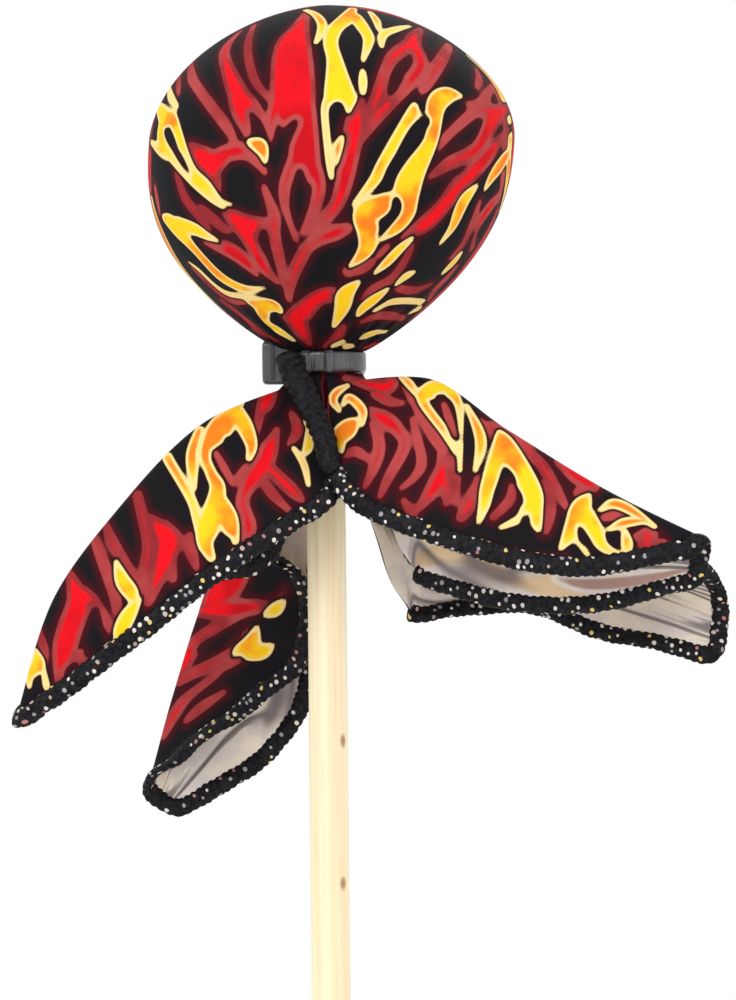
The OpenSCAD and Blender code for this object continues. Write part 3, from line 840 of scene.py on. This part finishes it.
RIGHT_PRINT = [
    yellow((23.5, -48, 1.8), (34, -46, 3), (46, -51, 3.5), (64.5, -55.5, 3.3), (86, -52, 1.6)),
    red((41, -47, .3), (44.5, -48.5, 1.5), (50.5, -49.5, 1.5), (56, -48, .2)),
    red((55, -52.5, .3), (62.5, -54, 1.2), (74, -53, 1.2), (86.5, -50, .2)),
    red((5, -4, .3), (14.5, -6.5, 1.5), (16.5, -4, .8)),
    red((12.5, -8, 1), (15.5, -10, .8), (18.5, -10.5, .2)),
    red((10.5, -12, .5), (14.5, -14.5, 1.7), (17.5, -17, 1.2), (19, -21, 1), (15, -28.5, .8),
        (13, -33, .2)),
    red((12, -15.5, .8), (13, -20.5, 1), (12, -25, 1), (9.5, -30.5, .2)),
    red((19.5, -6.5, .5), (21.5, -9.5, 1), (26.5, -17.5, 2), (28, -21, 1.2)),
    red((27.5, -22.5, .3), (28, -26, 1.2), (26.5, -30, 1.7), (21.5, -36.5, .2)),
    red((27.5, -26.5, 1), (29, -31.5, 1.2), (28.5, -35, .2)),
    red((21, -14.5, .3), (23, -24, .8), (21.5, -28, .5), (18, -31, .2)),
    red((30, -22.5, .3), (31, -26.5, .8), (31, -35, .2)),
    red((37, -15, .2), (39, -19, .8), (36.5, -29, .8), (34.5, -34, 1.5), (32, -38, .8)),
    red((39.5, -16, .5), (44.5, -19, .8), (48, -22, 1), (50, -25.5, .2)),
    red((50, -24, .5), (52.5, -28, 1), (57, -36.5, .2)),
    red((55, -25, .5), (59, -28, 1.7), (62.5, -30, 2), (59.5, -32.5, .8)),
    red((51.5, -30, .5), (52.5, -36, 1.2), (51.5, -41, .8)),
    red((65, -38.5, .3), (67.5, -37.5, 1), (70, -38, .3)),
    red((72.5, -43, .5), (76, -42, 1.2), (74.5, -45, 1), (79, -44, .3)),
    red((4.5, -23, .3), (7.5, -22, .8), (11, -24.5, .3)),
    red((18.5, -33.5, .3), (20, -36, .8), (21, -38.5, .2)),
    yellow((5.5, -6, .2), (3, -7.5, .7), (2, -9.5, .7), (3.5, -12, .2)),
    yellow((4.5, -10.5, .2), (6, -9, .7), (9, -12, .8), (9, -15.5, .2)),
    yellow((7.5, -14.5, .4), (5.5, -16.5, 2), (3.5, -18.5, 1.6), (4, -22, .2)),
    yellow((18.5, -4, .4), (20.5, -6, .7), (22.5, -9, .2)),
    yellow((30, -6, 1), (25.5, -7.5, 1.8), (23.5, -10, .9), (28.5, -17.5, .7), (31, -22.5, .2)),
    yellow((29.5, -6.5, 1.4), (31.5, -10.5, 1), (32, -15, .7), (32, -27, .2)),
    hole((27.5, -9.5, 1.4), (29.5, -12, 2), (31.5, -19.5, .9)),
    red((28.5, -11, .2), (29.5, -14, .5), (31, -18.5, .2)),
    yellow((34, -11.5, .2), (37, -19.5, 1), (35.5, -27, .2)),
    yellow((41.5, -18, .4), (43, -22, 2.3), (48.5, -31.5, 2), (49, -36.5, 1.8), (50, -41, .4)),
    yellow((42, -20.5, 1.8), (38.5, -30.5, 1.4), (37.5, -35, 1), (36, -39.5, .2)),
    yellow((48, -36.5, 1.8), (45.5, -38.5, .7), (41, -40.5, .2)),
    hole((42.5, -26.5, 1), (43, -30, 2.6), (42, -35.5, 2.8)),
    hole((47.5, -37.5, .9), (47, -39.5, 1.6), (47.5, -41.5, 1)),
    red((44, -30.5, .2), (43.5, -34, .8), (39.5, -38, .5)),
    yellow((62, -33, .2), (60, -36, 2), (58.5, -40, 2), (55, -45.5, .2)),
    yellow((61, -37, 1.4), (63, -41, 1.6), (65, -45, .9), (69.5, -47.5, .2)),
    yellow((57.5, -41, .7), (62, -48, .2)),
    hole((59.5, -40.5, .9), (60.5, -43, 1.6), (63, -46, .9)),
    yellow((64.5, -36.5, .2), (67.5, -35, .8), (71.5, -36.5, .8), (77, -40.5, .2)),
    yellow((66.5, -41, .2), (70, -39.5, .8), (75, -39, .4)),
    yellow((70, -41.5, .4), (70.5, -44.5, 1), (70.5, -47, .2)),
]
LEAF_PRINT = [
    red((4, 2, .8), (14, 4, 3), (26, 1, 4.4), (40, 3, 4), (54, 0, 2.6), (66, -5, .5)),
    hole((20, 3, 1), (28, 2, 2.4), (40, 3, .5)),
    yellow((8, -14, .6), (18, -10, 3), (30, -12, 4), (42, -9, 2.6), (54, -11, 3), (66, -8, .5)),
    hole((22, -10, .9), (31, -11, 2), (40, -10, .5)),
    red((14, -22, .6), (26, -20, 2), (40, -21, 1.4), (52, -18, .5)),
    yellow((10, 14, .6), (22, 12, 1.6), (34, 14, 1.4), (46, 11, .5)),
    red((24, 22, .6), (36, 20, 2.4), (50, 17, 2.6), (64, 19, .5)),
    red((48, -20, .6), (60, -18, 3), (74, -12, 4.4), (88, -10, 2.6), (100, -6, .5)),
    hole((64, -16, 1), (75, -12, 2.2), (84, -10, .5)),
    yellow((56, 6, .6), (68, 8, 3), (80, 5, 3.4), (92, 2, 2), (104, 3, .5)),
    hole((70, 7, .8), (79, 5, 1.6), (88, 3, .4)),
    red((70, 18, .6), (82, 15, 1.8), (96, 10, .6)),
]
TOP_CORNERS = {
    "front_left": dict(
        front=[(-1, -8.6, -2.8), (-1.2, -10.2, -6), (1.6, -17.4, -29.5), (-9, -22.5, -38.5),
               (-25, -27.5, -49), (-48.5, -30, -67), (-71, -27.5, -83.5)],
        ridge=[(-7.8, -4.2, -3.4), (-8.8, -5, -6.4), (-28.5, -15, -15), (-47.5, -24, -32.5),
               (-64.5, -28, -55), (-73.5, -25, -84)],
        back=[(-8.9, .5, -2.8), (-9.9, .9, -6), (-13, -3, -44), (-32, -8, -52), (-54, -13, -65),
              (-70.5, -19, -82)],
        strokes=LEFT_PRINT, area=0.0055,
    ),
    "front_right": dict(
        front=[(.5, -8.8, -2.8), (.8, -10.2, -6), (4.4, -20.6, -29.5), (24, -32, -40.5),
               (56, -42, -49), (85.5, -44, -45)],
        ridge=[(7.9, -4.2, -2.8), (9.5, -5.5, -4.5), (27, -15, -4.5), (44, -27, -17.8),
               (64.5, -36, -32), (87.5, -41, -44)],
        back=[(8.6, -.5, -2.8), (9.9, -.6, -6), (17, -4, -42), (27, -10, -53), (57, -24, -58.5),
              (86.5, -36, -52.5)],
        strokes=RIGHT_PRINT, area=0.0055,
    ),
    "back_left": dict(
        front=[(-8.3, 3.2, -2.8), (-9.3, 3.6, -6), (-14, 8, -43), (-6.5, 11, -54), (-7.5, 13, -72),
               (-23, 19, -85.5), (-42.5, 24, -100)],
        ridge=[(-6.2, 6.2, -2.8), (-7, 7.1, -6), (-21, 22, -32), (-32.5, 29, -60), (-39, 32, -83),
               (-44.5, 30, -105.5)],
        back=[(-1.5, 8.6, -2.8), (-1.7, 9.8, -6), (-3, 17, -44), (-6, 24, -79), (-17, 29, -97),
              (-38, 31, -110)],
        strokes=LOW_LEFT_PRINT, area=0.0055,
    ),
    "back_right": dict(
        front=[(8.2, 3.2, -2.8), (9.3, 3.6, -6), (15, 6, -36), (25, 8, -49), (45, 9, -54),
               (68, 11, -55), (91, 10, -50)],
        ridge=[(6.3, 6.3, -2.8), (7.1, 7.1, -6), (16, 15, -24), (33, 24, -37), (54, 30, -45),
               (76, 31, -51), (96.5, 22, -59)],
        back=[(2.6, 8.4, -2.8), (2.8, 10, -6), (9.5, 14, -35), (17.5, 17, -57), (24, 18.5, -61.5),
              (46, 22, -59.5), (71, 25, -67), (95.5, 22, -72.5)],
        strokes=None, area=0.0055,
    ),
}


leaf_w, leaf_l = 64, 110


def leaf_grid(finer):
    """Rows and columns of a leaf: finer for the two in front."""
    return (210, 150) if finer else (150, 96)


def leaf(front, ridge, back, number, finer):
    """Cupped leaf. Across it runs the parabola through one edge, the ridge and the other edge; along
    it each of the three is a smooth curve. Small pleats fan out of the neck and die away, slow waves
    cross the middle, and the free edges ruffle where the stitching has stretched them."""
    rows, cols = leaf_grid(finer)
    s = np.linspace(0, 1, rows)[:, None]
    v = np.linspace(0, 1, cols)[None]
    a, r, b = curve(front, s), curve(ridge, s), curve(back, s)
    w = v[..., None]
    p = (1 - w) ** 2 * a + 2 * w * (1 - w) * (2 * r - (a + b) / 2) + w**2 * b
    out = np.cross(np.gradient(p, axis=0), np.gradient(p, axis=1))
    out /= np.maximum(np.linalg.norm(out, axis=-1, keepdims=True), 1e-9)
    pleat = 1.3 * np.exp(-s / 0.2) * ease(s, 0.14, 0.32) * np.cos(2 * np.pi * 4.5 * v + number)
    slow = 0.9 * ease(s, 0.15, 0.5) * np.sin(7 * s + 5 * v + 2 * number) * np.sin(np.pi * v)
    rim = np.exp(-v / 0.1) * np.sin(46 * s + number)
    rim = rim + np.exp((v - 1) / 0.1) * np.sin(42 * s + 2 * number)
    return p + out * (pleat + slow + 0.7 * rim * ease(s, 0.2, 0.4))[..., None]


def faces_in(p, way):
    """True where the grid's own facing near its neck points against the given direction."""
    i, j = len(p) // 12, p.shape[1] // 2  # the neck
    facing = np.cross(p[i + 2, j] - p[i, j], p[i, j + 2] - p[i, j])
    return float(np.dot(facing, way)) < 0


def laid_out(p):
    """The cloth's own coordinates at each point of a leaf: across and along it, in millimetres."""
    across, along = np.linspace(0, leaf_w, p.shape[1]), np.linspace(0, leaf_l, p.shape[0])
    return np.stack(np.meshgrid(across, along), -1)


def leaf_print(p, strokes, number):
    """Strokes of a leaf's own are laid on as seen from the front. A leaf without them has the common
    ones, drawn along and across the cloth and mirrored on every other leaf."""
    seen_at = p[..., [0, 2]]
    if not strokes:
        across, along = np.moveaxis(laid_out(p), -1, 0)
        seen_at = np.stack([along, (across - leaf_w / 2) * (-1) ** number], -1)
    flat_strokes = drawn(strokes or LEAF_PRINT, lambda x, z: np.stack([x, z], -1))
    return paint(seen_at.reshape(-1, 2), flat_strokes)


def border(p, first_front, first_back):
    """Points round the free edge of a leaf's grid, out along one side, round the tip and back, with
    the direction into the cloth at each. The stitching starts at the given shares of the two sides,
    and the corners at the tip are rounded by averaging."""
    i, j = int(first_front * len(p)), int(first_back * len(p))
    edge = np.vstack([p[i:, 0], p[-1, 1:-1], p[j:, -1][::-1]])
    inner = np.vstack([p[i:, 3], p[-4, 1:-1], p[j:, -4][::-1]])
    run = np.r_[0, np.cumsum(np.linalg.norm(np.diff(edge, axis=0), axis=1))]
    even = np.linspace(0, run[-1], int(run[-1] / (0.4)))
    lay = [np.stack([np.interp(even, run, q[:, k]) for k in range(3)], -1) for q in (edge, inner)]
    reach = int(3.5 / (even[1] - even[0]))
    kernel = np.hanning(2 * reach + 3)[1:-1]
    kernel /= kernel.sum()
    soft = []
    for q in lay:
        padded_line = np.pad(q, ((reach, reach), (0, 0)), mode="reflect", reflect_type="odd")
        soft.append(np.stack([np.convolve(padded_line[:, k], kernel, "valid") for k in range(3)], -1))
    return soft[0], soft[1] - soft[0]


def sewn(line, inward, wide, deep, pitch=1.9, taper=1.6, sides=20):
    """Roll of overlocked thread along a line: an oval tube, flat to the cloth, whose radius rises and
    falls as the absolute sine of the distance along it, so the stitches slant and meet in grooves."""
    step = np.gradient(line, axis=0)
    run = np.r_[0, np.cumsum(np.linalg.norm(np.diff(line, axis=0), axis=1))][:, None]
    step /= np.linalg.norm(step, axis=1, keepdims=True)
    up = np.cross(step, inward)
    up /= np.linalg.norm(up, axis=1, keepdims=True)
    side = np.cross(up, step)
    a = np.arange(sides)[None] * 2 * np.pi / sides
    stitch = np.abs(np.sin(np.pi * run / pitch + 0.8 * np.sin(a) + 0.5 * np.cos(a))) ** 0.7
    size = 0.84 + 0.17 * stitch + 0.04 * np.sin(run * 0.9 + 3 * a)
    close = np.sqrt(1 - (1 - np.clip(np.minimum(run, run[-1] - run) / taper, 0, 1)) ** 2)
    size = (size * close)[..., None]
    a = a[..., None]
    tube = line[:, None] + size * (side[:, None] * np.cos(a) * wide + up[:, None] * np.sin(a) * deep)
    uv = np.stack(np.broadcast_arrays(run, np.linspace(0, 12.4, sides + 1)[None]), -1)
    return tube, uv


def overlock_thread(name, glints):
    """Black thread; where glints is 1, specks of the print's colours show between its stitches."""
    look = Look(name, Specular_IOR_Level=0.12)
    sockets = {"Vector": look.place((0.5, 0.5, 1), uv=True), "Scale": 1.0}
    from_spot = look.node("ShaderNodeTexVoronoi", sockets, out="Distance", voronoi_dimensions="2D")
    chance = look.node("ShaderNodeSeparateColor", {0: from_spot.beside("Color")}, out=0)
    hue = chance.beside(1)
    fuzz = look.noise(look.place(), 900, 3, 0.6)
    speck = look.mix(hue.ramp(0.4, 0.6), (0.70, 0.65, 0.58, 1), (0.30, 0.27, 0.30, 1))
    speck = look.mix(hue.ramp(0.84, 0.9), speck, (0.70, 0.52, 0.16, 1))
    speck = look.mix(hue.ramp(0.0, 0.12, 1, 0), speck, (0.42, 0.14, 0.15, 1))
    size = chance.ramp(0.3, 1.0, 0.12, 0.27)
    shown = from_spot.math("LESS_THAN", size) * chance.math("GREATER_THAN", 0.52) * glints
    black = look.mix(fuzz.ramp(0.35, 0.7), (0.003, 0.003, 0.004, 1), (0.016, 0.015, 0.019, 1))
    return look.feed(
        Base_Color=look.mix(shown, black, speck), Roughness=shown.ramp(0, 1, 0.55, 0.35),
        Normal=look.bump(fuzz, 0.3, 0.00015),
    )


overhang, overlock_wide, overlock_deep = 0.6, 2.5, 1.15
thread_look = overlock_thread("black overlock thread", 1.0)
plain_thread = overlock_thread("plain black thread", 0.0)


def hang_corner(side, name, end, azimuth, shape, number, start):
    """Adds one corner and its stitched edge, and bakes each one's placement into its mesh."""
    p = leaf(shape["front"], shape["ridge"], shape["back"], number, "front" in name and end > 0)
    radial = np.array([math.cos(azimuth), math.sin(azimuth), 0])
    red, yellow = leaf_print(p, shape["strokes"], number)
    cloth = skin(
        f"{side}_leaf_{name}", put(p, end), [flame_cloth, cloth_back],
        flip=faces_in(p, radial) != (end < 0), uv=laid_out(p),
        marks={"red_print": red, "yellow_print": yellow},
    )
    thicken(cloth)
    edge, inward = border(p, *start)
    outward = -inward / np.linalg.norm(inward, axis=1, keepdims=True)
    tube, uv = sewn(edge + overhang * outward, inward, overlock_wide, overlock_deep)
    overlock = skin(
        f"{side}_overlock_{name}", put(tube, end), [thread_look], around=True, poles=(True, True),
        flip=end < 0, uv=uv,
    )
    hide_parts(f"{side}_corner_{name}")
    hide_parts(f"{side}_edge_{name}")
    near = tuple(put(radial * 9 + np.array([0, 0, -2.0]), end) * MM)
    far = tuple(put(radial * 24 + np.array([0, 0, -16.0]), end) * MM)
    for piece, slot in ((cloth, "print_cloth"), (overlock, "edge_thread")):
        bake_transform(piece)


for number, (name, azimuth, start) in enumerate((
    ("front_left", 209, (0.31, 0.30)), ("back_left", 135, (0.35, 0.42)),
    ("back_right", 45, (0.42, 0.5)), ("front_right", 331, (0.36, 0.52)),
)):
    hang_corner("top", name, 1, math.radians(azimuth), TOP_CORNERS[name], number, start)

# ---------------------------------------------------------------- drawn-up front edge
# At the front one finished edge is pulled up through the tie, so a short roll of black stitching
# stands proud of the strap and runs down to where the two front corners meet.
loop_line = curve(
    [(-8.6, -11.4, 2.4), (-8, -12.6, -1), (-5.6, -14.6, -6.5), (-2.6, -16, -12.5),
     (-.2, -17.6, -18.5), (1.6, -19.8, -27.5)],
    np.linspace(0, 1, 90),
)
loop_depth = np.linspace(3.7, 2.7, 90)[:, None, None]
into_stick = np.tile([0.0, 1.0, 0.0], (90, 1))
loop_tube, loop_uv = sewn(loop_line, into_stick, 2.4, loop_depth, pitch=2.2, taper=2.5, sides=28)
loop = skin(
    "top_drawn_up_edge", put(loop_tube, 1), [plain_thread], around=True, poles=(True, True), uv=loop_uv
)
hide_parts("top_front_loop")
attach(loop, "root")

# ---------------------------------------------------------------- lower corners
# The same four corners at the other end. The stick stands on that head, so they fold back over the
# ball with the wrong side out. Their points are radial, sideways and along, for one direction.
FOLDED = dict(
    front=[(8.4, 3.6, -2.8), (9.2, 4.2, -6), (21, 12, -14), (39, 22, -14), (55, 20, 3),
           (66, 5, 24)],
    ridge=[(8.9, 0, -2.8), (10, 0, -6), (26, 0, -24), (49, 0, -28), (66, 0, -8), (69, 0, 26)],
    back=[(8.4, -3.6, -2.8), (9.2, -4.2, -6), (21, -12, -14), (39, -22, -14), (55, -20, 3),
          (66, -5, 24)],
)
for number, (name, azimuth) in enumerate(
    (("front_left", 225), ("back_left", 135), ("back_right", 45), ("front_right", 315)), 4
):
    a = math.radians(azimuth)
    turned_points = {
        line_name: [
            (x * math.cos(a) - y * math.sin(a), x * math.sin(a) + y * math.cos(a), z)
            for x, y, z in points
        ]
        for line_name, points in FOLDED.items()
    }
    shape = dict(turned_points, strokes=None, area=0.0045)
    hang_corner("bottom", name, -1, a, shape, number, (0.3, 0.3))
